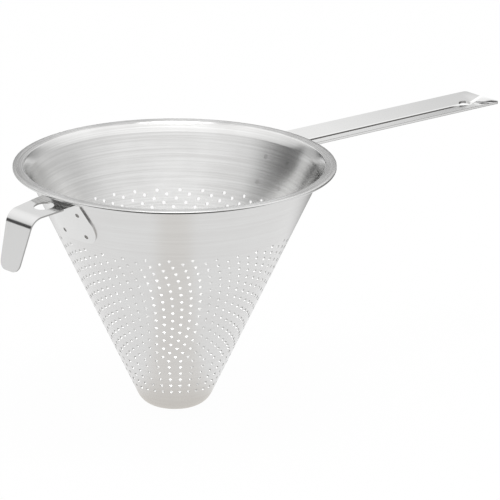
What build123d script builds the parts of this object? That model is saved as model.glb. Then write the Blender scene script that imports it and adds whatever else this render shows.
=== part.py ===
# Chinois strainer: a perforated sheet cone with a pressed strip handle and a pot hook, all spot-welded.
# Millimetres, +Z up. The origin is the centre of the flat under the cone's tip.
# The handle runs along +X and the hook along -X.

from build123d import *
from math import atan, cos, radians, sin, tan
import os

os.makedirs("parts", exist_ok=True)

# The bowl's sheet; the tip's diameter is where the wall's line meets the plane of the bottom
rim_diameter = 200.0
bowl_height = 155.5
tip_diameter = 39.05
flange_width = 7.3
bowl_sheet = 0.8
hem_width = 2.7
hem_height = 1.7
hem_edge_share = 0.45
mouth_bend = 1.0
tip_bend = 14.0

# The punched holes: rows are counted down from the rim, and the first lies below the weld plates
row_hole_count = 32
hole_diameter = 2.25
staggered_rows = 28
straight_rows = 5
first_row_gap = 5.15
last_row_rise = 17.9
low_pitch_share = 1.36
straight_pitch_share = 1.98
band_margin = 2.5
flat_inset = 0.02

# The two weld plates, one on the hook and one on the handle's tang
plate_height = 26.4
plate_widening_share = 0.489
plate_foot_width = 37.6
plate_corner_share = 0.807
plate_gap = 0.05
fold_bend = 1.2
weld_diameter = 3.0
weld_spacing = 20.0
weld_depth_shares = (0.243, 0.816)
weld_dimple = 0.3
weld_play = 0.02

# The hook
hook_sheet = 1.0
hook_drop = 4.0
hook_root_width = 30.2
hook_end_width = 17.1
strap_length = 32.8
strap_slope = 6.2
hook_bend = 9.75
leg_length = 34.7
leg_lean = 16.3
leg_corner = 5.5
hook_hole_diameter = 12.5
hook_hole_reach = 14.1

# The handle
handle_sheet = 1.6
handle_width = 31.4
handle_drop = 2.9
handle_slope = 1.27
handle_reach = 263.4
valley_depth_root = 3.7
valley_depth_tip = 3.1
valley_depth_end = 0.2
valley_bend = 4.0
end_ramp = 8.0
handle_corner = 2.0
hanging_hole_diameter = 10.0
hanging_hole_inset = 14.0

# One length by which cuts run past what they cut
overrun = 5.0

# What follows from these sizes
rim_radius = rim_diameter / 2
cone_top_radius = rim_radius - flange_width
slope = (cone_top_radius - tip_diameter / 2) / bowl_height
cone_half_angle = atan(slope)
slant = cos(cone_half_angle)
sheet_across = bowl_sheet / slant
hook_top = bowl_height - hook_drop
hook_shoulder = hook_top - hook_sheet - fold_bend
handle_top = bowl_height - handle_drop
handle_shoulder = handle_top - valley_depth_root - handle_sheet
plates_foot = min(hook_shoulder, handle_shoulder) - plate_height
plate_widening = plate_height * plate_widening_share
plate_corner = (plate_height - plate_widening) * plate_corner_share


def cone_radius(z):
    """Radius of the cone's outer surface at height z."""
    return cone_top_radius - (bowl_height - z) * slope


def height_at(depth):
    """Height of a point that lies this far down the wall from the rim's plane."""
    return bowl_height - depth * slant


def row_depths():
    """Distances down the wall: the pitch of the staggered rows grows steadily towards the tip."""
    first = (bowl_height - plates_foot) / slant + first_row_gap
    last = bowl_height / slant - last_row_rise
    steps = staggered_rows - 1
    shares = [1 + (low_pitch_share - 1) * step / (steps - 1) for step in range(steps)]
    shares += [straight_pitch_share] * straight_rows
    depths = [first]
    for share in shares:
        depths.append(depths[-1] + (last - first) * share / sum(shares))
    return depths


depths = row_depths()
band_top = height_at(depths[0] - band_margin)
band_foot = height_at(depths[-1] + band_margin)


# The bowl: a round upper wall with its flange, a round tip, and the perforated band between them.
# The band is made of flats, one for each column of holes, so that every hole is a true round bore.

def upper_wall():
    """Plain wall above the holes, the mouth's bend, the flange and its folded edge."""
    flange_under = bowl_height - bowl_sheet
    hem_inner = rim_radius - hem_width
    hem_under = bowl_height - hem_height
    outline = Polyline(
        (cone_radius(band_top), band_top),
        (cone_radius(flange_under), flange_under),
        (hem_inner, flange_under),
        (hem_inner, hem_under),
        (rim_radius, hem_under),
        (rim_radius, bowl_height),
        (cone_radius(bowl_height) - sheet_across, bowl_height),
        (cone_radius(band_top) - sheet_across, band_top),
        close=True,
    )
    section = make_face(Plane.XZ * outline)
    corners = section.vertices()
    under_bend = corners.sort_by_distance((cone_radius(flange_under), 0, flange_under))[0]
    section = fillet(under_bend, mouth_bend)
    top_bend = section.vertices().sort_by_distance((cone_radius(bowl_height) - sheet_across, 0, bowl_height))[0]
    section = fillet(top_bend, mouth_bend + bowl_sheet)
    edge_low = section.vertices().sort_by_distance((rim_radius, 0, hem_under))[0]
    edge_high = section.vertices().sort_by_distance((rim_radius, 0, bowl_height))[0]
    section = fillet([edge_low, edge_high], hem_height * hem_edge_share)
    return revolve(section, Axis.Z)


def closed_tip():
    """Plain wall below the holes and the closed bottom with its large bend."""
    outline = Polyline(
        (0, 0),
        (cone_radius(0), 0),
        (cone_radius(band_foot), band_foot),
        (cone_radius(band_foot) - sheet_across, band_foot),
        (cone_radius(bowl_sheet) - sheet_across, bowl_sheet),
        (0, bowl_sheet),
        close=True,
    )
    section = make_face(Plane.XZ * outline)
    outer = section.vertices().sort_by_distance((cone_radius(0), 0, 0))[0]
    section = fillet(outer, tip_bend)
    inner = section.vertices().sort_by_distance((cone_radius(bowl_sheet) - sheet_across, 0, bowl_sheet))[0]
    section = fillet(inner, tip_bend - bowl_sheet)
    return revolve(section, Axis.Z)


flat_count = 2 * row_hole_count
flat_angle = 360.0 / flat_count
half_flat = radians(flat_angle / 2)
sagitta = cone_radius(band_top) * (1 - cos(half_flat))
flat_across = sheet_across - sagitta - 2 * flat_inset


def apothem(z):
    """Distance from the axis to the middle of a flat's outer face at height z."""
    return cone_radius(z) - sagitta - flat_inset


def flat_face(inward, row_heights):
    """One flat as a face with its round holes, centred on +X; inward is its distance behind the outer face."""
    low = apothem(band_foot) - inward
    high = apothem(band_top) - inward
    corners = [
        (low, -low * tan(half_flat), band_foot),
        (low, low * tan(half_flat), band_foot),
        (high, high * tan(half_flat), band_top),
        (high, -high * tan(half_flat), band_top),
    ]
    face = make_face(Polyline(*corners, close=True)).face()
    rings = [Wire.make_circle(hole_diameter / 2, hole_plane(z, inward)) for z in row_heights]
    return face.make_holes(rings)


def hole_plane(z, inward):
    """Plane of a hole's rim on the outer or inner face, seen along the wall's outward normal."""
    outward = Vector(slant, 0, -sin(cone_half_angle))
    centre = Vector(apothem(z), 0, z) - outward * (inward * slant)
    return Plane(origin=centre, x_dir=(0, 1, 0), z_dir=outward)


def flat_parts(row_heights):
    """Outer face, inner face, bores and the two end strips of one flat."""
    faces = [flat_face(0, row_heights), flat_face(flat_across, row_heights)]
    wall = flat_across * slant
    for z in row_heights:
        bore = Solid.make_cylinder(hole_diameter / 2, wall, hole_plane(z, flat_across))
        faces += bore.faces().filter_by(GeomType.CYLINDER)
    for z in (band_foot, band_top):
        outer = apothem(z)
        inner = outer - flat_across
        strip = Polyline(
            (outer, -outer * tan(half_flat), z),
            (outer, outer * tan(half_flat), z),
            (inner, inner * tan(half_flat), z),
            (inner, -inner * tan(half_flat), z),
            close=True,
        )
        faces.append(make_face(strip).face())
    return faces


def perforated_band():
    """All flats, with staggered rows on alternate flats and the lowest rows in line."""
    heights = [height_at(depth) for depth in depths]
    even_rows = heights[1:staggered_rows:2] + heights[staggered_rows:]
    odd_rows = heights[0:staggered_rows:2]
    kinds = [flat_parts(even_rows), flat_parts(odd_rows)]
    faces = []
    for index in range(flat_count):
        turn = Rotation(0, 0, index * flat_angle)
        faces += [(turn * face).face() for face in kinds[index % 2]]
    return Solid(Shell(faces))


# Weld plates: a patch of sheet bent to the cone's outside

half_turn = Rotation(0, 0, 180)

def plate_face_radius(z):
    """Radius of a weld plate's inner face at height z."""
    return cone_radius(z) + plate_gap / slant


def cone_core():
    """Everything that lies inside the weld plates' inner face."""
    low = bowl_height / 2
    high = bowl_height + overrun
    outline = Polyline(
        (0, low),
        (plate_face_radius(low), low),
        (plate_face_radius(high), high),
        (0, high),
        close=True,
    )
    return half_turn * revolve(make_face(Plane.XZ * outline), Axis.Z)


def weld_plate(thickness, top, shoulder, root_width):
    """Blank of a plate at +X: as wide as its strip down to the shoulder, then widening to a rounded foot.

    It reaches inside the cone, and the cone's core is cut out of it and its strip together.
    """
    foot = shoulder - plate_height
    across = thickness / slant
    band = Polyline(
        (plate_face_radius(foot) - overrun, foot),
        (plate_face_radius(foot) + across, foot),
        (plate_face_radius(top) + across, top),
        (plate_face_radius(top) - overrun, top),
        close=True,
    )
    shell = half_turn * revolve(make_face(Plane.XZ * band), Axis.Z)
    outline = Polyline(
        (-root_width / 2, top + overrun),
        (-root_width / 2, shoulder),
        (-plate_foot_width / 2, shoulder - plate_widening),
        (-plate_foot_width / 2, foot),
        (plate_foot_width / 2, foot),
        (plate_foot_width / 2, shoulder - plate_widening),
        (root_width / 2, shoulder),
        (root_width / 2, top + overrun),
        close=True,
    )
    shape = make_face(Plane.YZ * outline)
    feet = shape.vertices().group_by(Axis.Z)[0]
    shape = fillet(feet, plate_corner)
    prism = extrude(shape, rim_radius)
    return (shell & prism).solid()


def weld_places(shoulder):
    """Planes on a plate's inner face at +X, one for each spot weld, with the outward normal."""
    places = []
    for share in weld_depth_shares:
        z = shoulder - plate_height * share
        radius = plate_face_radius(z)
        turn = weld_spacing / 2 / radius
        for side in (-turn, turn):
            outward = Vector(slant * cos(side), slant * sin(side), -sin(cone_half_angle))
            centre = (radius * cos(side), radius * sin(side), z)
            places.append(Plane(origin=centre, z_dir=outward))
    return places


def weld_plugs(thickness, shoulder, radius, outer_end):
    """Round plugs through a plate and the bowl's wall; outer_end is how far they stay below the plate's face."""
    wall = bowl_sheet + plate_gap
    plugs = []
    for plane in weld_places(shoulder):
        start = plane.offset(-wall)
        plugs.append(Solid.make_cylinder(radius, wall + thickness - outer_end, start))
    return plugs


def fold_edges(body, thickness, shoulder, upper):
    """Edges of the fold between a strip and its plate: above, on the plate's inner face, or below, on its outer."""
    offset = 0 if upper else thickness / slant
    found = []
    for face in body.faces():
        level = face.normal_at().Z if upper else -face.normal_at().Z
        if level > slant:
            for edge in face.edges():
                middle = edge @ 0.5
                off_cone = (middle.X ** 2 + middle.Y ** 2) ** 0.5 - plate_face_radius(middle.Z)
                if abs(off_cone - offset) < thickness / 50 and middle.Z > shoulder:
                    found.append(edge)
    return found


def bend_fold(body, thickness, shoulder):
    """Rounds the fold on its inside by the bend and on its outside by the bend and the sheet."""
    body = fillet(fold_edges(body, thickness, shoulder, False), fold_bend)
    return fillet(fold_edges(body, thickness, shoulder, True), fold_bend + thickness)


def end_corners(edges, thickness, end_x):
    """The two short edges at a strip's far end that run through its thickness."""
    short = [edge for edge in edges if abs(edge.length - thickness) < thickness / 50]
    return [edge for edge in short if edge.center().X > end_x - thickness]


# The hook


def hook_solid():
    """Strap, bend and leg as one bent strip at +X, joined to its weld plate."""
    fall = radians(strap_slope)
    lean = radians(90 - leg_lean)
    root = Vector(cone_radius(hook_top), 0, hook_top)
    along = Vector(cos(fall), 0, -sin(fall))
    down = Vector(cos(lean), 0, -sin(lean))
    knee = root + along * strap_length
    toe = knee + down * leg_length
    start = root - along * overrun
    under = Vector(-sin(fall), 0, -cos(fall)) * hook_sheet
    behind = Vector(-sin(lean), 0, -cos(lean)) * hook_sheet
    turn = lean - fall
    inner_knee = knee + under + along * (-hook_sheet * tan(turn / 2))
    outline = Polyline(start, knee, toe, toe + behind, inner_knee, start + under, close=True)
    side = make_face(outline)
    side = fillet(side.vertices().sort_by_distance(knee)[0], hook_bend)
    side = fillet(side.vertices().sort_by_distance(inner_knee)[0], hook_bend - hook_sheet)
    strip = extrude(side, hook_root_width / 2 + overrun, both=True)
    strip = strip & taper_wedge(root, toe)
    strip = fillet(end_corners(strip.edges(), hook_sheet, toe.X), leg_corner)
    bore = Cylinder(hook_hole_diameter / 2, 2 * overrun)
    hole_centre = root + along * hook_hole_reach
    strip = strip - Location(hole_centre) * Rotation(0, strap_slope, 0) * bore
    plate = weld_plate(hook_sheet, hook_top - hook_sheet / 2, hook_shoulder, hook_root_width)
    return bend_fold((strip + plate - cone_core()).solid(), hook_sheet, hook_shoulder)


def taper_wedge(root, toe):
    """Prism whose two sloping sides narrow the strip evenly from just past the fold to the toe."""
    reach = (toe.X - root.X + root.Z - toe.Z) / 2 ** 0.5
    straight = 2 * (fold_bend + hook_sheet)
    narrowing = (hook_root_width - hook_end_width) / 2 / (reach - straight)
    run = overrun + reach + overrun
    near = hook_root_width / 2
    far = near - narrowing * (run - overrun - straight)
    plane = Plane(origin=root + Vector(-1, 0, 1).normalized() * overrun, x_dir=(1, 0, -1), z_dir=(1, 0, 1))
    outline = Polyline(
        (0, -near),
        (overrun + straight, -near),
        (run, -far),
        (run, far),
        (overrun + straight, near),
        (0, near),
        close=True,
    )
    return extrude(plane * make_face(outline), reach + bowl_height, both=True)


# The handle

def handle_section(x, depth, thickness):
    """Cross-section at x: two wings that fall to a rounded valley, this thick below their upper side."""
    edge = handle_top - (x - rim_radius) * tan(radians(handle_slope))
    half = handle_width / 2
    wing = atan(depth / half)
    tangent = valley_bend * sin(wing)
    lip = edge - depth * (half - tangent) / half
    floor = lip - valley_bend * (1 - cos(wing))
    heights = [edge, lip, floor, lip, edge]
    across = [-half, -tangent, 0, tangent, half]
    top = [(x, y, z) for y, z in zip(across, heights)]
    under = [(x, y, z - thickness) for y, z in zip(across, heights)]
    rim = Line(top[0], top[1]) + ThreePointArc(*top[1:4]) + Line(top[3], top[4])
    rim += Line(top[4], under[4])
    rim += Line(under[4], under[3]) + ThreePointArc(*under[3:0:-1]) + Line(under[1], under[0])
    rim += Line(under[0], top[0])
    return make_face(rim.edges())


def handle_solid():
    """Pressed strip with its valley, hanging hole and tang."""
    root_x = cone_top_radius - overrun
    ramp_x = handle_reach - end_ramp
    stations = [(root_x, valley_depth_root), (ramp_x, valley_depth_tip), (handle_reach, valley_depth_end)]
    strip = loft([handle_section(x, depth, handle_sheet) for x, depth in stations], ruled=True)
    hole_x = handle_reach - hanging_hole_inset
    strip = strip - Location((hole_x, 0, handle_top)) * Cylinder(hanging_hole_diameter / 2, 4 * overrun)
    strip = fillet(end_corners(strip.edges(), handle_sheet, handle_reach), handle_corner)
    plate = weld_plate(handle_sheet, handle_top - handle_sheet / 2, handle_shoulder, handle_width)
    above = [handle_section(x, valley_depth_root, -2 * overrun) for x in (root_x - overrun, rim_radius)]
    plate = plate - loft(above, ruled=True)
    return bend_fold((strip + plate - cone_core()).solid(), handle_sheet, handle_shoulder)


# Build every piece

hook_welds = weld_plugs(hook_sheet, hook_shoulder, weld_diameter / 2 - weld_play, weld_dimple)
handle_welds = weld_plugs(handle_sheet, handle_shoulder, weld_diameter / 2 - weld_play, weld_dimple)
hook_bores = weld_plugs(hook_sheet + overrun, hook_shoulder, weld_diameter / 2, 0)
handle_bores = weld_plugs(handle_sheet + overrun, handle_shoulder, weld_diameter / 2, 0)

hook = half_turn * (hook_solid() - hook_bores)
handle = handle_solid() - handle_bores
top_wall = upper_wall() - [half_turn * bore for bore in hook_bores] - handle_bores
bowl = perforated_band() + top_wall + closed_tip()

pieces = {
    "strainer_bowl": bowl,
    "handle": handle,
    "hook": hook,
    "hook_spot_welds": Compound([half_turn * plug for plug in hook_welds]),
    "handle_spot_welds": Compound(handle_welds),
}

for name, piece in pieces.items():
    export_step(piece, "parts/" + name + ".step")
    print(name, "solids", len(piece.solids()), "volume", round(piece.volume, 1))
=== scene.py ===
# %% [markdown]
# A chinois: a cone of punched stainless sheet, with a strip handle on one side and a pot hook on the other.
# Everything is made of thin sheet, so every piece here starts as a surface with no thickness.
# The surface is bent into shape first and gets its wall after that, so both faces of the sheet stay parallel.

from math import atan, cos, degrees, pi, radians, sin, sqrt, tan

import bmesh
import bpy
import numpy as np
from mathutils import Matrix, Vector


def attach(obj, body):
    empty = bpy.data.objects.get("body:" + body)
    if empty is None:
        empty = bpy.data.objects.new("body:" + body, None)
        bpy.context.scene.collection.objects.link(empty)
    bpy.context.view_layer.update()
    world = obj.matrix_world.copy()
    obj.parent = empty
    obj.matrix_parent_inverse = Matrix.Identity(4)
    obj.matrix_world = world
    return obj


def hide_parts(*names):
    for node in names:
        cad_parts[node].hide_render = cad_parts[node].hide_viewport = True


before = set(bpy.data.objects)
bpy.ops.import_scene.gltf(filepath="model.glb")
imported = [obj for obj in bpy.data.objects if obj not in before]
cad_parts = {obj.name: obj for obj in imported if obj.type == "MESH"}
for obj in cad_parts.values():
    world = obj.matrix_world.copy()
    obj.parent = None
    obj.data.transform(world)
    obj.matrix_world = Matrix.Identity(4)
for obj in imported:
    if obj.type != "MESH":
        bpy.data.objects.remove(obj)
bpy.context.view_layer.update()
print("CAD nodes", sorted(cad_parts))

# %% [markdown]
# The sizes are in metres and follow the solids. Only the mouth is finer here, as in the photograph: it has a
# small flare, a tighter bend and squarer corners on its folded edge.
# Heights are measured from the flat under the tip, and the cone's axis is Z.

# %% Sizes of the bowl
MM = 0.001
RIM_RADIUS = 100 * MM
BOWL_HEIGHT = 155.5 * MM
CONE_TOP_RADIUS = 92.7 * MM
TIP_RADIUS = 19.525 * MM
CONE_ANGLE = atan((CONE_TOP_RADIUS - TIP_RADIUS) / BOWL_HEIGHT)
SHEET = 0.8 * MM
HEM_WIDTH = 2.7 * MM
HEM_HEIGHT = 1.7 * MM
MOUTH_BEND = 1.2 * MM
FLARE = 1.4 * MM
FLARE_HEIGHT = 8 * MM
TIP_BEND = 13.2 * MM


def cone_radius(z):
    """Radius of the cone's outer surface at height z."""
    return CONE_TOP_RADIUS - (BOWL_HEIGHT - z) * tan(CONE_ANGLE)


def inner_radius(z):
    """Radius of the cone's inner surface at height z."""
    return cone_radius(z) - SHEET / cos(CONE_ANGLE)


print("half angle of the cone", round(degrees(CONE_ANGLE), 2), "degrees")

# %% [markdown]
# Blender's operators act on whatever is selected, so each step starts from a clean selection.
# These helpers do what a hand does: clear the selection, pick by place, and apply a modifier.

# %% Helpers for selecting and applying
NEAR = 0.01 * MM


def clear_selection():
    """Object mode, nothing selected."""
    if bpy.context.object is not None and bpy.context.object.mode != "OBJECT":
        bpy.ops.object.mode_set(mode="OBJECT")
    bpy.ops.object.select_all(action="DESELECT")


def take(piece):
    """Makes one piece the selected and active one."""
    clear_selection()
    piece.select_set(True)
    bpy.context.view_layer.objects.active = piece


def edit(kind):
    """Edit mode with vertices, edges or faces as the thing to pick."""
    bpy.ops.object.mode_set(mode="EDIT")
    bpy.ops.mesh.select_mode(type=kind)


def pick(kind, test):
    """Selects what passes the test, by its centre, and returns how many there are."""
    mesh = bmesh.from_edit_mesh(bpy.context.object.data)
    bpy.ops.mesh.select_all(action="DESELECT")
    items = {"VERT": mesh.verts, "EDGE": mesh.edges, "FACE": mesh.faces}[kind]
    count = 0
    for item in items:
        points = [item.co] if kind == "VERT" else [v.co for v in item.verts]
        if test(points):
            item.select_set(True)
            count += 1
    mesh.select_flush_mode()
    bmesh.update_edit_mesh(bpy.context.object.data)
    return count


def all_near(axis, value, slack=NEAR):
    """Test for things that lie wholly at one value of an axis."""
    return lambda points: all(abs(p[axis] - value) < slack for p in points)


def finish_modifier(piece, kind, **settings):
    """Adds a modifier with these settings and applies it."""
    take(piece)
    bpy.ops.object.modifier_add(type=kind)
    modifier = piece.modifiers[-1]
    for name, value in settings.items():
        setattr(modifier, name, value)
    bpy.ops.object.modifier_apply(modifier=modifier.name)


def place_in_mesh(piece):
    """Moves the object's place, turn and size into its mesh."""
    take(piece)
    bpy.ops.object.transform_apply(location=True, rotation=True, scale=True)


def arc(centre, radius, start, end, steps):
    """Points of an arc in a plane, with the first and the last."""
    turns = [start + (end - start) * i / steps for i in range(steps + 1)]
    return [(centre[0] + radius * cos(a), centre[1] + radius * sin(a)) for a in turns]


# %% [markdown]
# The bowl is one sheet, turned out at the mouth and folded under at the edge.
# A circle is drawn at the edge of the flange and then extruded ring by ring along the inner surface,
# over the flange, through the bend of the mouth and down to the middle of the tip.
# Solidify then gives the sheet its wall, on the outside, and the fold is extruded down from the flange.

# %% Profile of the bowl's inner surface
EDGE_RADIUS = 0.4 * MM
FLARE_FOOT = BOWL_HEIGHT - FLARE_HEIGHT
BEND_RINGS = 5
FLARE_RINGS = 6
WALL_RINGS = 12
TIP_RINGS = 14
BOTTOM_SHARES = (0.66, 0.33)


def flared_radius(z):
    """Radius of the inner surface, which leaves the straight cone just under the mouth."""
    risen = max(0.0, z - FLARE_FOOT) / FLARE_HEIGHT
    return inner_radius(z) + FLARE * risen ** 2


def mouth_rings():
    """Rings of the flange, of the bend at the mouth and of the flare below it."""
    flange = [(RIM_RADIUS, BOWL_HEIGHT), (RIM_RADIUS - HEM_WIDTH, BOWL_HEIGHT)]
    flare_angle = atan(tan(CONE_ANGLE) + 2 * FLARE / FLARE_HEIGHT)
    reach = MOUTH_BEND * tan((pi / 2 - flare_angle) / 2)
    centre = (flared_radius(BOWL_HEIGHT) + reach, BOWL_HEIGHT - MOUTH_BEND)
    bend = arc(centre, MOUTH_BEND, pi / 2, pi - flare_angle, BEND_RINGS)
    bend_foot = bend[-1][1]
    flare = []
    for step in range(1, FLARE_RINGS + 1):
        z = bend_foot + (FLARE_FOOT - bend_foot) * step / FLARE_RINGS
        flare.append((flared_radius(z), z))
    return flange + bend + flare


def tip_rings():
    """Rings of the round turn from the wall into the bottom."""
    reach = TIP_BEND * tan((pi / 2 - CONE_ANGLE) / 2)
    centre = (inner_radius(SHEET) - reach, SHEET + TIP_BEND)
    return arc(centre, TIP_BEND, -CONE_ANGLE, -pi / 2, TIP_RINGS)


def bowl_profile():
    """Radius and height of every ring, from the flange's edge to the middle of the bottom."""
    mouth = mouth_rings()
    tip = tip_rings()
    wall = []
    for step in range(1, WALL_RINGS):
        share = step / WALL_RINGS
        wall.append(tuple(a + (b - a) * share for a, b in zip(mouth[-1], tip[0])))
    bottom = [(tip[-1][0] * share, SHEET) for share in BOTTOM_SHARES]
    return mouth + wall + tip + bottom


rings = bowl_profile()
print("rings in the bowl", len(rings))

# %% Extrude the bowl ring by ring
AROUND = 128
MERGE = 0.001 * MM
BELT = 8 * MM

clear_selection()
bpy.ops.mesh.primitive_circle_add(vertices=AROUND, radius=rings[0][0], location=(0, 0, rings[0][1]))
bowl = bpy.context.object
bowl.name = "perforated_bowl"
place_in_mesh(bowl)
edit("VERT")
bpy.ops.mesh.select_all(action="SELECT")
for before, after in zip(rings, rings[1:]):
    rise = (0, 0, after[1] - before[1])
    bpy.ops.mesh.extrude_edges_move(TRANSFORM_OT_translate={"value": rise})
    share = after[0] / before[0]
    bpy.ops.transform.resize(value=(share, share, 1), center_override=(0, 0, 0))
bpy.ops.mesh.edge_face_add()
bpy.ops.mesh.select_all(action="SELECT")
bpy.ops.mesh.remove_doubles(threshold=MERGE)
bpy.ops.mesh.normals_make_consistent(inside=False)
bpy.ops.object.mode_set(mode="OBJECT")


def faces_axis(piece, height):
    """True where the faces in a belt round a height look towards the Z axis."""
    for face in piece.data.polygons:
        if abs(face.center.z - height) < BELT:
            return face.normal.x * face.center.x + face.normal.y * face.center.y < 0
    return False


if not faces_axis(bowl, BOWL_HEIGHT / 2):
    take(bowl)
    edit("FACE")
    bpy.ops.mesh.select_all(action="SELECT")
    bpy.ops.mesh.flip_normals()
    bpy.ops.object.mode_set(mode="OBJECT")
finish_modifier(bowl, "SOLIDIFY", thickness=SHEET, offset=-1, use_even_offset=True)
print("bowl faces", len(bowl.data.polygons))


# %% Fold the edge under and round it
def ring_test(low_radius, *heights):
    """Test for things outside a radius that lie wholly at one of some heights."""
    slack = 2 * NEAR

    def test(points):
        out = all(sqrt(p.x ** 2 + p.y ** 2) > low_radius - slack for p in points)
        return out and any(all(abs(p.z - height) < slack for p in points) for height in heights)

    return test


EDGE_SLACK = 0.1 * MM
take(bowl)
edit("FACE")
under = pick("FACE", ring_test(RIM_RADIUS - HEM_WIDTH, BOWL_HEIGHT - SHEET))
bpy.ops.mesh.extrude_region_move(TRANSFORM_OT_translate={"value": (0, 0, SHEET - HEM_HEIGHT)})
bpy.ops.mesh.select_mode(type="EDGE")
edges = pick("EDGE", ring_test(RIM_RADIUS - EDGE_SLACK, BOWL_HEIGHT, BOWL_HEIGHT - HEM_HEIGHT))
bpy.ops.mesh.bevel(offset=EDGE_RADIUS, segments=4, affect="EDGES")
bpy.ops.object.mode_set(mode="OBJECT")
print("faces under the flange", under, "edges rounded", edges)

# %% [markdown]
# The holes are punched square to the wall: 28 staggered rows and, near the tip, 5 rows in line.
# In the photograph the rows are turned a little against each other, so the columns of holes bow, and the
# holes near the tip look narrower. One punch is a short cylinder. It is copied to each of the 1056 places,
# and one Boolean cuts them all.

# %% Places of the holes
HOLES_IN_ROW = 32
HOLE_RADIUS = 1.125 * MM
LOW_HOLES_NARROWER = 0.12
STAGGERED_ROWS = 28
STRAIGHT_ROWS = 5
FIRST_ROW_DEPTH = 43.39 * MM
TOP_ROW_PITCH = 2.65 * MM
LOW_ROW_PITCH = 3.6 * MM
STRAIGHT_ROW_PITCH = 5.24 * MM
FRONT = radians(-131)
MIDDLE_ROW = 16
MIDDLE_TURN = radians(4.4)
TURN_DROP = radians(7.0)
STRAIGHT_TURN = radians(-5.47)
STRAIGHT_TURN_STEP = radians(0.24)


def hole_rows():
    """Height and turn of every row, from the top: the pitch grows towards the tip."""
    depths = [FIRST_ROW_DEPTH]
    steps = STAGGERED_ROWS - 1
    for step in range(steps):
        grown = step / (steps - 1)
        depths.append(depths[-1] + TOP_ROW_PITCH + (LOW_ROW_PITCH - TOP_ROW_PITCH) * grown)
    for row in range(STRAIGHT_ROWS):
        depths.append(depths[-1] + STRAIGHT_ROW_PITCH)
    half_pitch = pi / HOLES_IN_ROW
    rows = []
    for index, depth in enumerate(depths):
        row = index + 1
        if row <= STAGGERED_ROWS:
            turn = MIDDLE_TURN - TURN_DROP * ((row - MIDDLE_ROW) / (MIDDLE_ROW - 1)) ** 2
            turn += half_pitch if row % 2 == 0 else 0
        else:
            turn = STRAIGHT_TURN + STRAIGHT_TURN_STEP * (row - STAGGERED_ROWS - 1)
        rows.append((BOWL_HEIGHT - depth * cos(CONE_ANGLE), turn + FRONT))
    return rows


# %% Punch the holes
def on_cone(angle, radius, height):
    """Placing matrix for a point round the cone, with local Z along the wall's normal."""
    spin = Matrix.Rotation(angle, 4, "Z")
    tilt = Matrix.Rotation(pi / 2 + CONE_ANGLE, 4, "Y")
    return spin @ Matrix.Translation((radius, 0, height)) @ tilt


def punch_places():
    """A placing matrix for every hole, narrower row by row towards the tip."""
    places = []
    rows = hole_rows()
    for row, (height, turn) in enumerate(rows):
        radius = cone_radius(height) - SHEET / 2 / cos(CONE_ANGLE)
        width = 1 - LOW_HOLES_NARROWER * row / len(rows)
        narrower = Matrix.Diagonal((width, width, 1, 1))
        for index in range(HOLES_IN_ROW):
            places.append(on_cone(turn + 2 * pi * index / HOLES_IN_ROW, radius, height) @ narrower)
    return places


def copies_in_one(piece, places, name):
    """One mesh that holds a copy of the piece's mesh at every place."""
    corners = np.array([v.co for v in piece.data.vertices])
    faces = [list(face.vertices) for face in piece.data.polygons]
    points, polygons = [], []
    for place in places:
        start = len(points)
        turn = np.array(place.to_3x3())
        points += (corners @ turn.T + np.array(place.translation)).tolist()
        polygons += [[start + corner for corner in face] for face in faces]
    mesh = bpy.data.meshes.new(name)
    mesh.from_pydata(points, [], polygons)
    joined = bpy.data.objects.new(name, mesh)
    bpy.context.scene.collection.objects.link(joined)
    return joined


def cut(piece, tool):
    """Cuts the tool's shape out of the piece and removes the tool."""
    finish_modifier(piece, "BOOLEAN", operation="DIFFERENCE", solver="MANIFOLD", object=tool)
    bpy.data.objects.remove(tool)


clear_selection()
bpy.ops.mesh.primitive_cylinder_add(vertices=16, radius=HOLE_RADIUS, depth=4 * SHEET)
punch = bpy.context.object
place_in_mesh(punch)
punches = copies_in_one(punch, punch_places(), "punches")
bpy.data.objects.remove(punch)
before = len(bowl.data.polygons)
cut(bowl, punches)
print("bowl faces before and after punching", before, len(bowl.data.polygons))

# %% [markdown]
# Both strips end in a plate that is spot-welded to the cone, and a melted spot joins the sheets there.
# The welds are separate plugs in the frame, so plates and bowl each get a round seat for every plug.
# The seats are drilled with the same kind of tool as the holes: copies of one short cylinder.

# %% Places of the spot welds
PLATE_GAP = 0.05 * MM
PLATE_HEIGHT = 26.4 * MM
PLATE_WIDENING = 12.91 * MM
PLATE_FOOT_WIDTH = 37.6 * MM
PLATE_CORNER = 10.89 * MM
WELD_RADIUS = 1.5 * MM
WELD_SPACING = 20 * MM
WELD_DEPTHS = (6.415 * MM, 21.542 * MM)
HOOK_SHEET = 1.0 * MM
HOOK_DROP = 4.0 * MM
FOLD_BEND = 2.2 * MM
HOOK_TOP = BOWL_HEIGHT - HOOK_DROP
HOOK_SHOULDER = HOOK_TOP - FOLD_BEND
HANDLE_SHEET = 1.6 * MM
HANDLE_DROP = 2.9 * MM
VALLEY_DEPTH = 3.7 * MM
HANDLE_TOP = BOWL_HEIGHT - HANDLE_DROP
HANDLE_SHOULDER = HANDLE_TOP - VALLEY_DEPTH - HANDLE_SHEET


def plate_radius(z):
    """Radius of a plate's inner face at height z."""
    return cone_radius(z) + PLATE_GAP / cos(CONE_ANGLE)


def weld_seats(shoulder, side):
    """Placing matrices of the four seats of a plate at +X (side 0) or -X (side pi)."""
    places = []
    for depth in WELD_DEPTHS:
        height = shoulder - depth
        radius = plate_radius(height)
        for half in (-1, 1):
            places.append(on_cone(side + half * WELD_SPACING / 2 / radius, radius, height))
    return places


def drill(places, name):
    """One mesh of short cylinders, one at each weld."""
    clear_selection()
    bpy.ops.mesh.primitive_cylinder_add(vertices=32, radius=WELD_RADIUS, depth=6 * SHEET)
    plug = bpy.context.object
    place_in_mesh(plug)
    drills = copies_in_one(plug, places, name)
    bpy.data.objects.remove(plug)
    return drills


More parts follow.
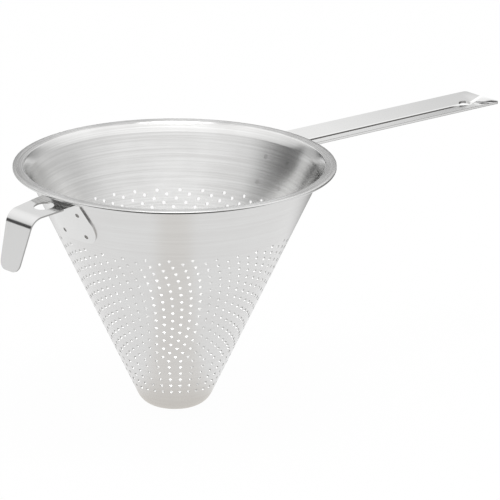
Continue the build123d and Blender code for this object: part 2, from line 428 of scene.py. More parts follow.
print("plates start at heights of", [round(z / MM, 2) for z in (HOOK_SHOULDER, HANDLE_SHOULDER)], "mm")

# %% Drill the seats in the bowl
both_plates = weld_seats(HOOK_SHOULDER, pi) + weld_seats(HANDLE_SHOULDER, 0)
cut(bowl, drill(both_plates, "bowl_drills"))
print("bowl faces with weld seats", len(bowl.data.polygons))

# %% [markdown]
# The cone is drawn with flat facets, and light on metal shows every one of them.
# Smooth shading alone would turn patchy round the holes, because it averages uneven faces.
# The true cone's normal is known at every point, so it is written onto the corners of the wall's faces,
# and Blender works out the rest by itself, with an edge wherever two faces meet at more than 30 degrees.

# %% Normals of the true cone
SAME_WAY = cos(radians(4))


def write_cone_normals(piece):
    """Gives the corners of the wall's faces the normal of the exact cone."""
    mesh = piece.data
    slant, rise = cos(CONE_ANGLE), sin(CONE_ANGLE)
    normals = np.zeros((len(mesh.loops), 3))
    points = np.empty(len(mesh.vertices) * 3)
    mesh.vertices.foreach_get("co", points)
    points = points.reshape(-1, 3)
    exact = 0
    for face in mesh.polygons:
        centre, normal = face.center, face.normal
        radius = sqrt(centre.x ** 2 + centre.y ** 2)
        if radius < TIP_BEND:
            continue
        true = Vector((centre.x / radius * slant, centre.y / radius * slant, -rise))
        match = normal.dot(true)
        if abs(match) < SAME_WAY:
            continue
        exact += 1
        for loop in face.loop_indices:
            point = points[mesh.loops[loop].vertex_index]
            reach = sqrt(point[0] ** 2 + point[1] ** 2)
            outward = (point[0] / reach * slant, point[1] / reach * slant, -rise)
            normals[loop] = outward if match > 0 else [-v for v in outward]
    mesh.normals_split_custom_set(normals.tolist())
    return exact


take(bowl)
bpy.ops.object.shade_smooth_by_angle(angle=radians(30))
print("faces with the cone's normal", write_cone_normals(bowl))
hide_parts("strainer_bowl")
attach(bowl, "root")

# %% [markdown]
# Hook and handle are strips: a line across the strip is extruded along its length, row by row,
# and each row gets its own width, so tapers and rounded corners need no later cutting.
# The last rows run down the cone as the weld plate. They start in a plane, and Shrinkwrap then lays
# them on a cone, along X only, so that widths and heights stay as drawn.

# %% Helpers for strips
CORNER_STEPS = 10
CORNER_TURNS = [pi / 2 * step / CORNER_STEPS for step in range(CORNER_STEPS + 1)]
WIDENING_SHARES = (0.35, 0.7, 1.0)
FORM_LOW = 100 * MM
FORM_HIGH = 165 * MM
LEVEL_SLACK = 6 * MM


def line_across(name, columns, half):
    """A straight row of vertices along Y, made from a grid, in edit mode."""
    clear_selection()
    bpy.ops.mesh.primitive_grid_add(x_subdivisions=1, y_subdivisions=columns, size=2)
    strip = bpy.context.object
    strip.name = name
    edit("VERT")
    pick("VERT", lambda points: points[0].x > 0.5)
    bpy.ops.mesh.delete(type="VERT")
    bpy.ops.mesh.select_all(action="SELECT")
    bpy.ops.transform.translate(value=(1, 0, 0))
    bpy.ops.transform.resize(value=(1, half, 1), center_override=(0, 0, 0))
    return strip


def next_row(before, after):
    """Extrudes the selected row from one (x, z, half width) to the next."""
    step = (after[0] - before[0], 0, after[1] - before[1])
    bpy.ops.mesh.extrude_edges_move(TRANSFORM_OT_translate={"value": step})
    bpy.ops.transform.resize(value=(1, after[2] / before[2], 1), center_override=(0, 0, 0))


def plate_rows(x, shoulder, root_half):
    """Rows of a weld plate from its shoulder down to its rounded foot."""
    foot = shoulder - PLATE_HEIGHT
    wide = PLATE_FOOT_WIDTH / 2
    rows = [(x, shoulder, root_half)]
    for share in WIDENING_SHARES:
        rows.append((x, shoulder - PLATE_WIDENING * share, root_half + (wide - root_half) * share))
    for angle in CORNER_TURNS:
        half = wide - PLATE_CORNER * (1 - cos(angle))
        rows.append((x, foot + PLATE_CORNER * (1 - sin(angle)), half))
    return rows


def lay_on_cone(piece, test):
    """Moves the vertices that pass the test along X onto the plate's inner face."""
    clear_selection()
    bpy.ops.mesh.primitive_cone_add(
        vertices=512, radius1=plate_radius(FORM_LOW), radius2=plate_radius(FORM_HIGH),
        depth=FORM_HIGH - FORM_LOW, location=(0, 0, (FORM_LOW + FORM_HIGH) / 2)
    )
    form = bpy.context.object
    place_in_mesh(form)
    take(piece)
    group = piece.vertex_groups.new(name="plate")
    group.add([v.index for v in piece.data.vertices if test(v.co)], 1.0, "REPLACE")
    finish_modifier(
        piece, "SHRINKWRAP", wrap_method="PROJECT", use_project_x=True, use_negative_direction=True,
        use_positive_direction=True, target=form, vertex_group="plate"
    )
    piece.vertex_groups.clear()
    bpy.data.objects.remove(form)


def give_wall(piece, thickness, level_x):
    """Turns the face at this X, where the strip is level, upwards, then adds the sheet's thickness below."""
    face = next(f for f in piece.data.polygons if abs(f.center.x - level_x) < LEVEL_SLACK)
    if face.normal.z < 0:
        take(piece)
        edit("FACE")
        bpy.ops.mesh.select_all(action="SELECT")
        bpy.ops.mesh.flip_normals()
        bpy.ops.object.mode_set(mode="OBJECT")
    finish_modifier(piece, "SOLIDIFY", thickness=thickness, offset=-1, use_even_offset=True)


def ease_edges(piece, width):
    """Rounds the cut edges and keeps broad faces flat in the shading."""
    take(piece)
    bpy.ops.object.shade_smooth_by_angle(angle=radians(40))
    finish_modifier(
        piece, "BEVEL", width=width, segments=2, limit_method="ANGLE", angle_limit=radians(50),
        harden_normals=False
    )
    take(piece)
    bpy.ops.object.shade_smooth_by_angle(angle=radians(60))
    finish_modifier(piece, "WEIGHTED_NORMAL", mode="FACE_AREA", weight=50, keep_sharp=True)


# %% [markdown]
# The hook is one strip of 1 mm sheet. It leaves the cone under the rim, has a round hole in its nearly level
# part, bends down over the side of the pot and tapers to a rounded toe.

# %% Rows of the hook
STRAP_LENGTH = 32.8 * MM
STRAP_SLOPE = radians(6.2)
HOOK_BEND = 9.75 * MM
LEG_LENGTH = 34.7 * MM
LEG_SLOPE = radians(90 - 16.3)
HOOK_ROOT_HALF = 15.1 * MM
HOOK_END_HALF = 8.55 * MM
TOE_CORNER = 5.5 * MM
HOOK_HOLE_RADIUS = 6.25 * MM
HOOK_HOLE_REACH = 14.1 * MM
LEG_SHARES = (0.33, 0.66, 1.0)
STRAP_SHARES = (0.3, 0.6, 1.0)
BEND_STEPS = 12
root = (-cone_radius(HOOK_TOP), HOOK_TOP)


def hook_line():
    """Points (x, z) from the toe up the leg, round the bend and along the strap to the cone."""
    turn = LEG_SLOPE - STRAP_SLOPE
    reach = HOOK_BEND * tan(turn / 2)
    knee = (root[0] - STRAP_LENGTH * cos(STRAP_SLOPE), root[1] - STRAP_LENGTH * sin(STRAP_SLOPE))
    centre = (
        knee[0] + reach * cos(STRAP_SLOPE) + HOOK_BEND * sin(STRAP_SLOPE),
        knee[1] + reach * sin(STRAP_SLOPE) - HOOK_BEND * cos(STRAP_SLOPE),
    )
    straight = LEG_LENGTH - TOE_CORNER
    from_knee = [LEG_LENGTH - TOE_CORNER * (1 - cos(angle)) for angle in CORNER_TURNS]
    from_knee += [straight - (straight - reach) * share for share in LEG_SHARES]
    points = [(knee[0] - d * cos(LEG_SLOPE), knee[1] - d * sin(LEG_SLOPE)) for d in from_knee]
    for step in range(1, BEND_STEPS + 1):
        angle = LEG_SLOPE - turn * step / BEND_STEPS
        points.append((centre[0] - HOOK_BEND * sin(angle), centre[1] + HOOK_BEND * cos(angle)))
    last = points[-1]
    for share in STRAP_SHARES:
        points.append((last[0] + (root[0] - last[0]) * share, last[1] + (root[1] - last[1]) * share))
    return points


def hook_rows():
    """Rows (x, z, half width): the hook narrows from the cone to its toe, which has round corners."""
    points = hook_line()
    far = (root[0] - points[0][0]) + (root[1] - points[0][1])
    rows = []
    for index, (x, z) in enumerate(points):
        gone = max(0.0, (root[0] - x + root[1] - z - FOLD_BEND) / (far - FOLD_BEND))
        half = HOOK_ROOT_HALF + (HOOK_END_HALF - HOOK_ROOT_HALF) * gone
        if index <= CORNER_STEPS:
            half -= TOE_CORNER * (1 - sin(CORNER_TURNS[index]))
        rows.append((x, z, half))
    return rows


rows = hook_rows()
print("hook rows", len(rows), "toe", [round(v / MM, 2) for v in rows[0]])

# %% Extrude the hook and lay its plate on the cone
FOLD_TURN = radians(71)
ON_STRAP = -105 * MM
hook = line_across("pot_hook", 12, rows[0][2])
bpy.ops.transform.translate(value=(rows[0][0], 0, rows[0][1]))
for before, after in zip(rows, rows[1:]):
    next_row(before, after)
below = plate_rows(root[0], HOOK_SHOULDER, HOOK_ROOT_HALF)
for before, after in zip([rows[-1]] + below, below):
    next_row(before, after)
bpy.ops.object.mode_set(mode="OBJECT")
lay_on_cone(hook, lambda p: p.x > root[0] - NEAR)
take(hook)
edit("EDGE")
folds = pick("EDGE", all_near(2, HOOK_TOP, 2 * NEAR))
print("fold edges", folds)
bpy.ops.mesh.bevel(offset=FOLD_BEND * tan(FOLD_TURN / 2), segments=4, affect="EDGES")
bpy.ops.object.mode_set(mode="OBJECT")
give_wall(hook, HOOK_SHEET, ON_STRAP)

# %% Cut the hook's hole and weld seats, and ease its edges
HOOK_EDGE = 0.18 * MM
hole_centre = (root[0] - HOOK_HOLE_REACH * cos(STRAP_SLOPE), 0, root[1] - HOOK_HOLE_REACH * sin(STRAP_SLOPE))
hole_place = Matrix.Translation(hole_centre) @ Matrix.Rotation(-STRAP_SLOPE, 4, "Y")
clear_selection()
bpy.ops.mesh.primitive_cylinder_add(vertices=64, radius=HOOK_HOLE_RADIUS, depth=8 * HOOK_SHEET)
borer = bpy.context.object
borer.data.transform(hole_place)
cut(hook, borer)
cut(hook, drill(weld_seats(HOOK_SHOULDER, pi), "hook_drills"))
ease_edges(hook, HOOK_EDGE)
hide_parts("hook")
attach(hook, "root")
print("hook faces", len(hook.data.polygons))

# %% [markdown]
# The handle is a strip of 1.6 mm sheet with a shallow valley pressed along it, which makes it stiff.
# Its cross-section starts as a V: the columns of one row are lowered by their distance from the edge.
# That row is extruded to the far end, and the valley's middle line is then bevelled into a round bend.

# %% Rows of the handle
HANDLE_HALF = 15.7 * MM
HANDLE_SLOPE = tan(radians(1.27))
HANDLE_REACH = 263.4 * MM
HANDLE_START = 90 * MM
VALLEY_END = 255.4 * MM
VALLEY_DEPTHS = (
    (HANDLE_START, VALLEY_DEPTH), (180 * MM, 3.38 * MM), (VALLEY_END, 3.1 * MM), (HANDLE_REACH, 0.2 * MM)
)
VALLEY_BEND = 4.0 * MM
HANDLE_CORNER = 2.0 * MM
END_STEPS = 5
HANGING_HOLE_RADIUS = 5.0 * MM
HANGING_HOLE_INSET = 14.0 * MM


def edge_height(x):
    """Height of the handle's upper edge at a distance along it."""
    return HANDLE_TOP - (x - RIM_RADIUS) * HANDLE_SLOPE


def valley_depth(x):
    """Depth of the sharp V, before its bottom is rounded."""
    for (x0, d0), (x1, d1) in zip(VALLEY_DEPTHS, VALLEY_DEPTHS[1:]):
        if x <= x1:
            return d0 + (d1 - d0) * (x - x0) / (x1 - x0)
    return VALLEY_DEPTHS[-1][1]


def half_width(x):
    """Half of the handle's width, which is less in its rounded corners."""
    into_corner = max(0.0, x - (HANDLE_REACH - HANDLE_CORNER))
    return HANDLE_HALF - HANDLE_CORNER + sqrt(max(0.0, HANDLE_CORNER ** 2 - into_corner ** 2))


stations = [HANDLE_START, 120 * MM, 180 * MM, 230 * MM, VALLEY_END, 258 * MM, HANDLE_REACH - HANDLE_CORNER]
end_turns = [pi / 2 * step / END_STEPS for step in range(1, END_STEPS + 1)]
stations += [HANDLE_REACH - HANDLE_CORNER * (1 - sin(turn)) for turn in end_turns]
print("handle stations", len(stations))

# %% Extrude the handle with its valley
COLUMNS = 12
handle = line_across("strip_handle", COLUMNS, HANDLE_HALF)
for column in range(COLUMNS + 1):
    across = -HANDLE_HALF + 2 * HANDLE_HALF * column / COLUMNS
    pick("VERT", all_near(1, across))
    bpy.ops.transform.translate(value=(0, 0, -valley_depth(stations[0]) * (1 - abs(across) / HANDLE_HALF)))
bpy.ops.mesh.select_all(action="SELECT")
bpy.ops.transform.translate(value=(stations[0], 0, edge_height(stations[0])))
for x0, x1 in zip(stations, stations[1:]):
    step = (x1 - x0, 0, edge_height(x1) - edge_height(x0))
    bpy.ops.mesh.extrude_edges_move(TRANSFORM_OT_translate={"value": step})
    deeper = valley_depth(x1) / valley_depth(x0)
    bpy.ops.transform.resize(value=(1, 1, deeper), center_override=(0, 0, edge_height(x1)))
    narrower = half_width(x1) / half_width(x0)
    bpy.ops.transform.resize(value=(1, narrower, 1), center_override=(0, 0, 0))
valley = pick("EDGE", all_near(1, 0))
wing = atan(VALLEY_DEPTH / HANDLE_HALF)
bpy.ops.mesh.bevel(offset=VALLEY_BEND * tan(wing / 2), segments=6, affect="EDGES")
print("valley edges", valley)

# %% Run the tang down the cone and give the strip its wall
ON_HANDLE = 150 * MM
bpy.ops.mesh.select_mode(type="VERT")
pick("VERT", all_near(0, stations[0]))
bpy.ops.mesh.extrude_edges_move(TRANSFORM_OT_translate={"value": (0, 0, 0)})
bpy.ops.transform.resize(value=(1, 1, 0), center_override=(0, 0, HANDLE_SHOULDER))
below = plate_rows(stations[0], HANDLE_SHOULDER, HANDLE_HALF)
for before, after in zip(below, below[1:]):
    next_row(before, after)
bpy.ops.object.mode_set(mode="OBJECT")
lay_on_cone(handle, lambda p: p.x < stations[0] + NEAR)
give_wall(handle, HANDLE_SHEET, ON_HANDLE)
print("handle faces before cutting", len(handle.data.polygons))

# %% [markdown]
# The wall grows along the sheet's normals, so the handle's end and its two long edges lean a little, where
# the real strip was cut square. Scaling the vertices of such a face by 0 along one axis makes it square.

# %% Square the handle's end and edges
take(handle)
edit("VERT")
pick("VERT", lambda points: points[0].x > HANDLE_REACH - NEAR)
bpy.ops.transform.resize(value=(0, 1, 1), center_override=(HANDLE_REACH, 0, 0))
for side in (-1, 1):
    pick("VERT", lambda points: points[0].y * side > HANDLE_HALF - NEAR and points[0].x > RIM_RADIUS)
    bpy.ops.transform.resize(value=(1, 0, 1), center_override=(0, side * HANDLE_HALF, 0))
bpy.ops.object.mode_set(mode="OBJECT")
print("handle ends at", round(max(v.co.x for v in handle.data.vertices) / MM, 2), "mm")

# %% Cut the hanging hole and weld seats, and ease the handle's edges
HANDLE_EDGE = 0.25 * MM
clear_selection()
bpy.ops.mesh.primitive_cylinder_add(vertices=64, radius=HANGING_HOLE_RADIUS, depth=12 * HANDLE_SHEET)
borer = bpy.context.object
borer.location = (HANDLE_REACH - HANGING_HOLE_INSET, 0, edge_height(HANDLE_REACH))
place_in_mesh(borer)
cut(handle, borer)
cut(handle, drill(weld_seats(HANDLE_SHOULDER, 0), "handle_drills"))
ease_edges(handle, HANDLE_EDGE)
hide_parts("handle")
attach(handle, "root")
print("handle faces", len(handle.data.polygons))

# %% [markdown]
# Metal is mostly what it mirrors, so its finish is in small things: how rough it is and how its surface is
# tilted. The finishes below are built from wires: a wire is a node's output, and a sum or product of wires
# adds Math nodes.


# %% Helpers for finishes
class Wire:
    """One output of a node, which can be used in sums and products."""

    def __init__(self, finish, socket):
        self.finish = finish
        self.socket = socket

    def maths(self, operation, first, second):
        """A Math node on two wires or numbers."""
        return self.finish.add("ShaderNodeMath", {"operation": operation}, {0: first, 1: second})

    def __add__(self, other):
        return self.maths("ADD", self, other)

    __radd__ = __add__

    def __sub__(self, other):
        return self.maths("SUBTRACT", self, other)

    def __rsub__(self, other):
        return self.maths("SUBTRACT", other, self)

    def __mul__(self, other):
        return self.maths("MULTIPLY", self, other)

    __rmul__ = __mul__

    def __truediv__(self, other):
        return self.maths("DIVIDE", self, other)

    def __rtruediv__(self, other):
        return self.maths("DIVIDE", other, self)

    def __pow__(self, other):
        return self.maths("POWER", self, other)

    def step(self, low, high):
        """0 below low, 1 above high, and a smooth rise between them."""
        settings = {"interpolation_type": "SMOOTHSTEP"}
        values = {"Value": self, "From Min": low, "From Max": high}
        return self.finish.add("ShaderNodeMapRange", settings, values)


class Finish:
    """The nodes of a material or of the world."""

    def __init__(self, owner):
        self.owner = owner
        owner.use_nodes = True
        self.tree = owner.node_tree
        self.tree.nodes.clear()

    def add(self, kind, settings=None, values=None, output=0):
        """Adds a node, sets it, fills its sockets and returns one of its outputs."""
        node = self.tree.nodes.new(kind)
        for name, value in (settings or {}).items():
            setattr(node, name, value)
        for name, value in (values or {}).items():
            if isinstance(value, Wire):
                self.tree.links.new(value.socket, node.inputs[name])
            else:
                node.inputs[name].default_value = value
        return Wire(self, node.outputs[output]) if node.outputs else None

    def place(self, coordinates="Object"):
        """The point's X, Y and Z on the piece in metres, or in the world the direction's."""
        point = self.add("ShaderNodeTexCoord", output=coordinates)
        split = self.add("ShaderNodeSeparateXYZ", values={0: point})
        return [Wire(self, split.socket.node.outputs[axis]) for axis in range(3)]

    def vector(self, x, y, z):
        """Three numbers or wires as one vector."""
        return self.add("ShaderNodeCombineXYZ", values={0: x, 1: y, 2: z})

    def noise(self, vector, scale, detail):
        """Noise of about 0.5 on average."""
        values = {"Vector": vector, "Scale": scale, "Detail": detail, "Roughness": 0.5}
        return self.add("ShaderNodeTexNoise", {"noise_dimensions": "3D"}, values)

    def tint(self, share, first, second):
        """A colour between two, by a share; a colour is three numbers or a wire."""
        first, second = [c if isinstance(c, Wire) else c + (1.0,) for c in (first, second)]
        return self.add("ShaderNodeMix", {"data_type": "RGBA"}, {0: share, 6: first, 7: second}, output=2)

    def steel(self, colour, roughness, height, depth, **fixed):
        """Ends the finish as bare metal with a fine relief."""
        relief = self.add("ShaderNodeBump", values={"Height": height, "Distance": depth, "Strength": 1.0})
        values = {"Base Color": colour, "Roughness": roughness, "Metallic": 1.0, "Normal": relief}
        values.update(fixed)
        surface = self.add("ShaderNodeBsdfPrincipled", values=values)
        self.add("ShaderNodeOutputMaterial", values={"Surface": surface})
        return self.owner


# %% [markdown]
# The bowl was spun on a lathe, so its lines run round it. Distance from the axis is the number that
# stays the same along each line, on the wall as well as on the flange, so the pattern follows it.

# %% Finish of the bowl
BANDS_PER_METRE = 160
BOWL_CLOUDS = 38


def spun_steel(name, dark, light, rough, relief, brushed, pitch=0.9):
    """Spun sheet: lines round the axis this many mm apart, finer ones between them, and faint clouds."""
    finish = Finish(bpy.data.materials.new(name))
    x, y, z = finish.place()
    radius = (x * x + y * y) ** 0.5
    lines_per_metre = 1 / (pitch * MM)

    def turned(around, across, detail):
        """Noise that changes slowly round the axis and this often in a metre away from it."""
        place = finish.vector(x / radius * around, y / radius * around, radius * across)
        return finish.noise(place, 1.0, detail)

    bands = turned(1.0, BANDS_PER_METRE, 1.0)
    broad = turned(0.8, lines_per_metre, 1.5)
    narrow = turned(1.6, 2.8 * lines_per_metre, 2.0)
    clouds = finish.noise(finish.vector(x, y, z), BOWL_CLOUDS, 3.0)
    shade = (0.25 * clouds + 0.1 * bands + 0.35 * broad + 0.3 * narrow).step(0.36, 0.64)
    height = broad + 0.4 * narrow
    fixed = {"Anisotropic": brushed, "Anisotropic Rotation": 0.25}
    return finish.steel(finish.tint(shade, dark, light), rough + 0.03 * narrow, height, relief, **fixed)


outside_steel = spun_steel(
    "spun_steel_outside", dark=(0.695, 0.69, 0.685), light=(0.725, 0.725, 0.72),
    rough=0.22, relief=0.004 * MM, brushed=0.3
)
inside_steel = spun_steel(
    "spun_steel_inside", dark=(0.70, 0.697, 0.69), light=(0.83, 0.83, 0.825),
    rough=0.17, relief=0.009 * MM, brushed=0.9, pitch=0.5
)
flange_steel = spun_steel(
    "turned_steel_flange", dark=(0.54, 0.535, 0.53), light=(0.90, 0.90, 0.895),
    rough=0.26, relief=0.06 * MM, brushed=0.8, pitch=1.4
)
edge_steel = spun_steel(
    "folded_steel_edge", dark=(0.66, 0.66, 0.655), light=(0.74, 0.74, 0.735),
    rough=0.10, relief=0.001 * MM, brushed=0.0
)
bowl_finishes = (outside_steel, inside_steel, flange_steel, edge_steel)
print("finishes of the bowl", [steel.name for steel in bowl_finishes])


# %% Give the bowl's sides their finish
def wear(piece, *finishes):
    """Gives a piece these finishes, in place of the empty slots that cutting leaves behind."""
    piece.data.materials.clear()
    for finish in finishes:
        piece.data.materials.append(finish)
    for face in piece.data.polygons:
        face.material_index = 0


FACING_UP = 0.9
SLOPING_UP = 0.7
TIP_TOP = 20 * MM
OUTSIDE, INSIDE, FLANGE, EDGE = range(4)
wear(bowl, *bowl_finishes)
sides = [0, 0, 0, 0]
for face in bowl.data.polygons:
    centre, normal = face.center, face.normal
    outward = normal.x * centre.x + normal.y * centre.y
    radius = sqrt(centre.x ** 2 + centre.y ** 2)
    if radius > RIM_RADIUS - EDGE_RADIUS and normal.z < FACING_UP:
        face.material_index = EDGE
    elif centre.z > BOWL_HEIGHT - HEM_HEIGHT - EDGE_SLACK and radius > flared_radius(BOWL_HEIGHT):
        face.material_index = FLANGE
    elif outward < 0 or (normal.z > SLOPING_UP and centre.z < TIP_TOP):
        face.material_index = INSIDE
    else:
        face.material_index = OUTSIDE
    sides[face.material_index] += 1
print("bowl faces outside, inside, on the flange and on its edge", sides)

# %% [markdown]
# The strips were rolled, not spun: their finish is smooth, with very faint lines along their length.
# A thin dark line runs along the bottom of the handle's valley: it is a painted reflection of something dark
# that the bend mirrors, and a dark colour keeps that line thin and in its place. The handle's near half has a
# painted highlight, it darkens a little towards the tip, and the cut sides of both strips have finishes of
# their own, darkened with painted shade.

# %% Finish of the strips
WHITE = (1.0, 1.0, 1.0)
ROLLED_LINES = (12, 1500, 300)
ROLLED_CLOUDS = 45
ROLLED_RELIEF = 0.004 * MM
DARKER_TO_TIP = (100 * MM, 280 * MM)
NEAR_HIGHLIGHT_ENDS = (1.8 * MM, 2.6 * MM)
CREASE_HALF = (0.9 * MM, 1.4 * MM)
CREASE_ENDS = (236 * MM, 243 * MM)


def scaled(place, per_metre):
    """X, Y and Z, each times how often a pattern repeats in a metre along it."""
    return [axis * often for axis, often in zip(place, per_metre)]


def rolled_surface(finish, dark, light):
    """Colour and lines of rolled strip: faint lines along X and faint clouds."""
    place = finish.place()
    lines = finish.noise(finish.vector(*scaled(place, ROLLED_LINES)), 1.0, 2.0)
    clouds = finish.noise(finish.vector(*place), ROLLED_CLOUDS, 3.0)
    return finish.tint(0.6 * clouds + 0.4 * lines, dark, light), lines


def rolled_steel(name, dark, light, rough):
    """Plain rolled strip."""
    finish = Finish(bpy.data.materials.new(name))
    colour, lines = rolled_surface(finish, dark, light)
    return finish.steel(colour, rough + 0.05 * lines, lines, ROLLED_RELIEF)


def creased_steel(name, dark, light, rough):
    """Rolled strip with a painted dark reflection along the crease in its middle, a painted highlight on the
    near half, and darker to the tip.
    """
    finish = Finish(bpy.data.materials.new(name))
    x, y, z = finish.place()
    colour, lines = rolled_surface(finish, dark, light)
    darker = finish.tint(x.step(*DARKER_TO_TIP), WHITE, (0.78, 0.78, 0.78))
    colour = finish.add("ShaderNodeVectorMath", {"operation": "MULTIPLY"}, {0: colour, 1: darker})
    # Painted highlight: the near half of the strip is tinted lighter.
    painted_near_highlight = 1.0 - y.step(*NEAR_HIGHLIGHT_ENDS)
    colour = finish.tint(painted_near_highlight, colour, (0.91, 0.91, 0.905))
    # Painted reflection: a thin near-black line along the crease stands in for the dark that the bend
    # mirrors.
    off_middle = (y * y).step(CREASE_HALF[0] ** 2, CREASE_HALF[1] ** 2)
    painted_crease_reflection = (1.0 - off_middle) * (1.0 - x.step(*CREASE_ENDS))
    colour = finish.tint(painted_crease_reflection, colour, (0.08, 0.075, 0.07))
    return finish.steel(colour, rough + 0.05 * lines + 0.2 * painted_crease_reflection, lines, ROLLED_RELIEF)


hook_steel = rolled_steel("rolled_hook_steel", (0.69, 0.69, 0.685), (0.76, 0.76, 0.755), 0.11)
handle_steel = creased_steel("rolled_handle_steel", (0.74, 0.74, 0.735), (0.82, 0.82, 0.815), 0.05)
print("finishes of the strips", hook_steel.name, handle_steel.name)

# %% Finish of the cut sides
SHEARED_LINES = (60, 1, 2000)
UPPER_CORNER = (0.15 * MM, 0.4 * MM)
LOWER_CORNER = (HANDLE_SHEET - 0.45 * MM, HANDLE_SHEET - 0.2 * MM)
BEYOND_PLATE = 97 * MM
SIDEWAYS = 0.5
SQUARE_SIDEWAYS = 0.8


def sheared_steel(name, middle, corner):
    """The handle's cut sides: bright between two corners darkened with painted shade."""
    finish = Finish(bpy.data.materials.new(name))
    x, y, z = finish.place()
    below = edge_height(x) - z
    # Painted shade: both corners of each cut side are darkened.
    corners = 1.0 - below.step(*UPPER_CORNER) * (1.0 - below.step(*LOWER_CORNER))
    lines = finish.noise(finish.vector(*scaled((x, y, z), SHEARED_LINES)), 1.0, 2.0)
    return finish.steel(finish.tint(corners, middle, corner), 0.2 + 0.1 * lines, lines, ROLLED_RELIEF)


# The dark corner colour is painted shade.
side_steel = sheared_steel("sheared_handle_steel", (0.78, 0.78, 0.775), (0.36, 0.355, 0.35))
# Painted reflection: the hook's cut sides get a dark colour for the dark they mirror.
painted_dark_edge_steel = rolled_steel("painted_dark_edge_steel", (0.34, 0.335, 0.33), (0.46, 0.455, 0.45), 0.3)
wear(hook, hook_steel, painted_dark_edge_steel)
for face in hook.data.polygons:
    face.material_index = int(abs(face.normal.y) > SIDEWAYS and face.center.x < -BEYOND_PLATE)
wear(handle, handle_steel, side_steel)
for face in handle.data.polygons:
    face.material_index = int(abs(face.normal.y) > SQUARE_SIDEWAYS and face.center.x > RIM_RADIUS)
for strip in (hook, handle):
    print("cut faces of", strip.name, sum(face.material_index for face in strip.data.polygons))

# %% [markdown]
# A spot weld is a small round dimple of melted steel, dark and dull outside. Inside the bowl it is taken to
# be flush and nearly as bright as the wall. The welds keep their shape from the frame and get this finish.

# %% Finish of the welds
WELD_CLOUDS = 900
WELD_RELIEF = 0.06 * MM
OUTER_HALF = 0.3 * MM


def weld_steel(name):
    """Melted and cooled steel: dark and dull in its dimple outside, brighter inside the bowl."""
    finish = Finish(bpy.data.materials.new(name))
    x, y, z = finish.place()
    clouds = finish.noise(finish.vector(x, y, z), WELD_CLOUDS, 3.0)
    off_cone = (x * x + y * y) ** 0.5 - cone_radius(z)
    outer = off_cone.step(-OUTER_HALF, OUTER_HALF)
    dark = finish.tint(clouds, (0.22, 0.21, 0.20), (0.38, 0.37, 0.355))
    colour = finish.tint(outer, (0.68, 0.675, 0.67), dark)
    return finish.steel(colour, 0.24 + outer * (0.16 + 0.1 * clouds), clouds * outer, WELD_RELIEF)


welds = weld_steel("spot_weld_steel")
for name in ("hook_spot_welds", "handle_spot_welds"):
    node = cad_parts[name]
    for slot in node.material_slots:
        slot.material = welds
print("materials", sorted(m.name for m in bpy.data.materials if m.users))

# %% [markdown]
# The photograph has a white ground without a visible shadow. The floor is white paint with a white glow for
# the camera and for mirrored rays, so the metal also mirrors a white table, and a trace of shadow stays.
# Only mirrored rays find the rest: the table ends in front of the strainer, where the rim's upright edge
# mirrors the dark room, it has a dark gap behind, and it has painted shade in a strip ahead and a painted
# shadow round the foot.

# %% Floor
TOWARDS = (-0.6561, -0.7547)
RIGHT = (-TOWARDS[1], TOWARDS[0])
FLOOR_SIZE = 4.0
TABLE_END = (0.36, 0.48)
SHADOW_STRIP_START = (0.0, 0.03)
SHADOW_STRIP_EDGE_SQUARED = (0.00018, 0.00225)
FOOT_SHADOW_EDGE_SQUARED = (0.0002, 0.002025)
GAP_START = (0.14, 0.42)
GAP_END = (0.8, 1.2)
GAP_SHIFT = 0.12
GAP_RIGHT = (0.1, 0.3)
GAP_LEFT = (-0.1, 0.2)
DARK_ROOM = (0.07, 0.066, 0.06)


def along(direction, x, y):
    """How far a point or direction goes along a level direction."""
    return direction[0] * x + direction[1] * y


def table_colour(finish, x, y, mirrored):
    """White for the camera; mirrored rays also see the table's end and gap, painted shade in a strip and a
    painted shadow at the foot.
    """
    ahead = along(TOWARDS, x, y)
    right = along(RIGHT, x, y)
    behind = 0.0 - ahead
    # Painted shade: a warm, darker strip of table ahead of the strainer, for mirrored rays only.
    strip = ahead.step(*SHADOW_STRIP_START) * (1.0 - (right * right).step(*SHADOW_STRIP_EDGE_SQUARED))
    # Painted shadow round the strainer's foot, for mirrored rays only.
    foot = 1.0 - (x * x + y * y).step(*FOOT_SHADOW_EDGE_SQUARED)
    gap = (behind + GAP_SHIFT * right.step(*GAP_RIGHT)).step(*GAP_START) * (1.0 - behind.step(*GAP_END))
    gap = gap * (0.5 + 0.5 * right.step(*GAP_LEFT))
    room = ahead.step(*TABLE_END)
    # The strip and the foot are tinted darker and warmer as painted shade and shadow.
    table = finish.tint(0.9 * strip * mirrored, WHITE, (0.90, 0.88, 0.855))
    table = finish.tint(foot * mirrored, table, (0.80, 0.77, 0.73))
    return finish.tint((room + 0.8 * gap) * mirrored, table, DARK_ROOM)


def studio_floor():
    """White ground: a glow for camera, mirrored and passing rays, plain paint for all others."""
    finish = Finish(bpy.data.materials.new("white_ground"))
    x, y, z = finish.place()
    rays = finish.add("ShaderNodeLightPath").socket.node.outputs
    camera = Wire(finish, rays["Is Camera Ray"])
    mirrored = Wire(finish, rays["Is Glossy Ray"])
    passing = Wire(finish, rays["Is Transmission Ray"])
    colour = table_colour(finish, x, y, mirrored)
    paint = finish.add("ShaderNodeBsdfDiffuse", values={"Color": (0.9, 0.9, 0.9, 1.0)})
    glow = finish.add("ShaderNodeEmission", values={"Color": colour, "Strength": 1.0})
    glowing = 0.97 * camera + mirrored + passing
    both = finish.add("ShaderNodeMixShader", values={0: glowing, 1: paint, 2: glow})
    finish.add("ShaderNodeOutputMaterial", values={"Surface": both})
    return finish.owner


clear_selection()
bpy.ops.mesh.primitive_plane_add(size=FLOOR_SIZE)
floor = bpy.context.object
floor.name = "white_floor"
floor.data.materials.append(studio_floor())
print("floor", floor.name, FLOOR_SIZE, "m wide")

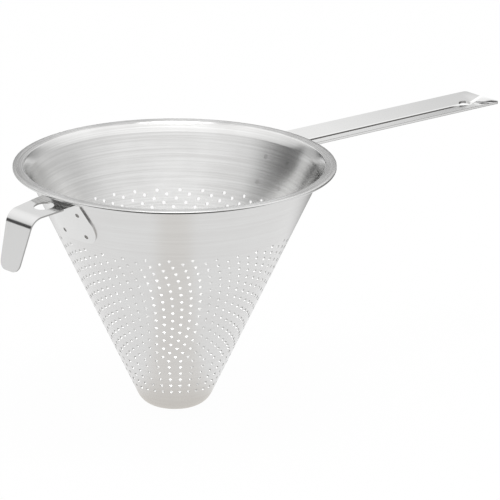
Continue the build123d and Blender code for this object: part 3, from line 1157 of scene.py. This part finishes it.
# %% [markdown]
# The studio is the world round the table: bright above, but dimmer right overhead where the softbox hangs,
# white at table height, and a dark band between the two. Metal shows all of this, so it is painted with care.
# The band is deep all round, but it fades on the right and is lighter in two patches on the left.
# Elevations are in degrees, and a direction's Z is the sine of its elevation.

# %% World
BAND_FOOT = (6, 9)
BAND_TOP = (20, 25)
BAND_TOP_BEHIND = (13, 20)
BRIGHTER_ABOVE = (22, 50)
DIMMER_OVERHEAD = (60, 74)
BEHIND = (0.82, 0.95)
FRONT_LEFT = ((0.1, 0.45), (0.1, 0.4))
BACK_LEFT = ((0.45, 0.62), (0.5, 0.65))
RIGHT_FADE = (0.3, 0.9)
FAR_RIGHT = (0.7, 1.0)
BAND_DARKNESS = 0.92
LIGHT = 1.15
MORE_ABOVE = 0.32
LESS_OVERHEAD = 0.75
LESS_FAR_RIGHT = 0.1


def elevation(degrees_up):
    """The Z of a direction at this elevation."""
    return sin(radians(degrees_up))


def rise_between(z, ends):
    """0 below the first elevation, 1 above the second."""
    return z.step(elevation(ends[0]), elevation(ends[1]))


def studio_world():
    """Light by direction: bright above, with a dark band low down."""
    world = bpy.data.worlds.new("studio")
    finish = Finish(world)
    x, y, z = finish.place("Generated")
    right = along(RIGHT, x, y)
    front = along(TOWARDS, x, y)
    left = 0.0 - right
    back = 0.0 - front
    behind = back.step(*BEHIND)
    starts, full = [
        elevation(usual) - behind * (elevation(usual) - elevation(lower))
        for usual, lower in zip(BAND_TOP, BAND_TOP_BEHIND)
    ]
    above_foot = rise_between(z, BAND_FOOT)
    below_top = 1.0 - z.step(starts, full)
    front_left = front.step(*FRONT_LEFT[0]) * left.step(*FRONT_LEFT[1])
    back_left = back.step(*BACK_LEFT[0]) * left.step(*BACK_LEFT[1])
    darkness = BAND_DARKNESS - 0.7 * right.step(*RIGHT_FADE) - 0.3 * front_left - 0.5 * back_left
    light = LIGHT + MORE_ABOVE * rise_between(z, BRIGHTER_ABOVE)
    light = light - LESS_OVERHEAD * rise_between(z, DIMMER_OVERHEAD)
    light = light - above_foot * LESS_FAR_RIGHT * right.step(*FAR_RIGHT)
    level = light * (1.0 - above_foot * below_top * darkness)
    glow = finish.add("ShaderNodeBackground", values={"Strength": level})
    finish.add("ShaderNodeOutputWorld", values={"Surface": glow})
    return world


bpy.context.scene.world = studio_world()
print("world", bpy.context.scene.world.name)

# %% [markdown]
# One round softbox hangs over the table. It lights the inside of the cone, where a ray is mirrored twice
# and leaves almost straight up, and so the punched holes look bright from outside.

# %% Softbox
SOFTBOX_SIZE = 0.8
SOFTBOX_LEVEL = 4.2
SOFTBOX_HEIGHT = 1.7
softbox = bpy.data.lights.new("softbox", "AREA")
softbox.shape = "DISK"
softbox.size = SOFTBOX_SIZE
softbox.energy = SOFTBOX_LEVEL * pi * pi * SOFTBOX_SIZE ** 2 / 4
softbox_place = bpy.data.objects.new("softbox", softbox)
bpy.context.scene.collection.objects.link(softbox_place)
softbox_place.location = (0, 0, SOFTBOX_HEIGHT)
print("softbox", round(softbox.energy, 1), "W")

# %% [markdown]
# The camera looks with a long lens from 3.5 m away, about 18 degrees above the rim's plane. The shape of
# the rim's ellipse in the photograph gives that angle.

# %% Camera and colour
CAMERA_PLACE = (-2.19704, -2.52741, 1.17296)
CAMERA_TURN = (72.2337, -0.2089, -41.7313)
CAMERA_LENS = 408.51
camera_data = bpy.data.cameras.new("camera")
camera_data.sensor_width = 36
camera_data.lens = CAMERA_LENS
camera = bpy.data.objects.new("camera", camera_data)
bpy.context.scene.collection.objects.link(camera)
camera.location = CAMERA_PLACE
camera.rotation_euler = [radians(turn) for turn in CAMERA_TURN]
bpy.context.scene.camera = camera
bpy.context.scene.view_settings.view_transform = "Standard"
print("camera", round(camera.location.length, 2), "m from the origin")
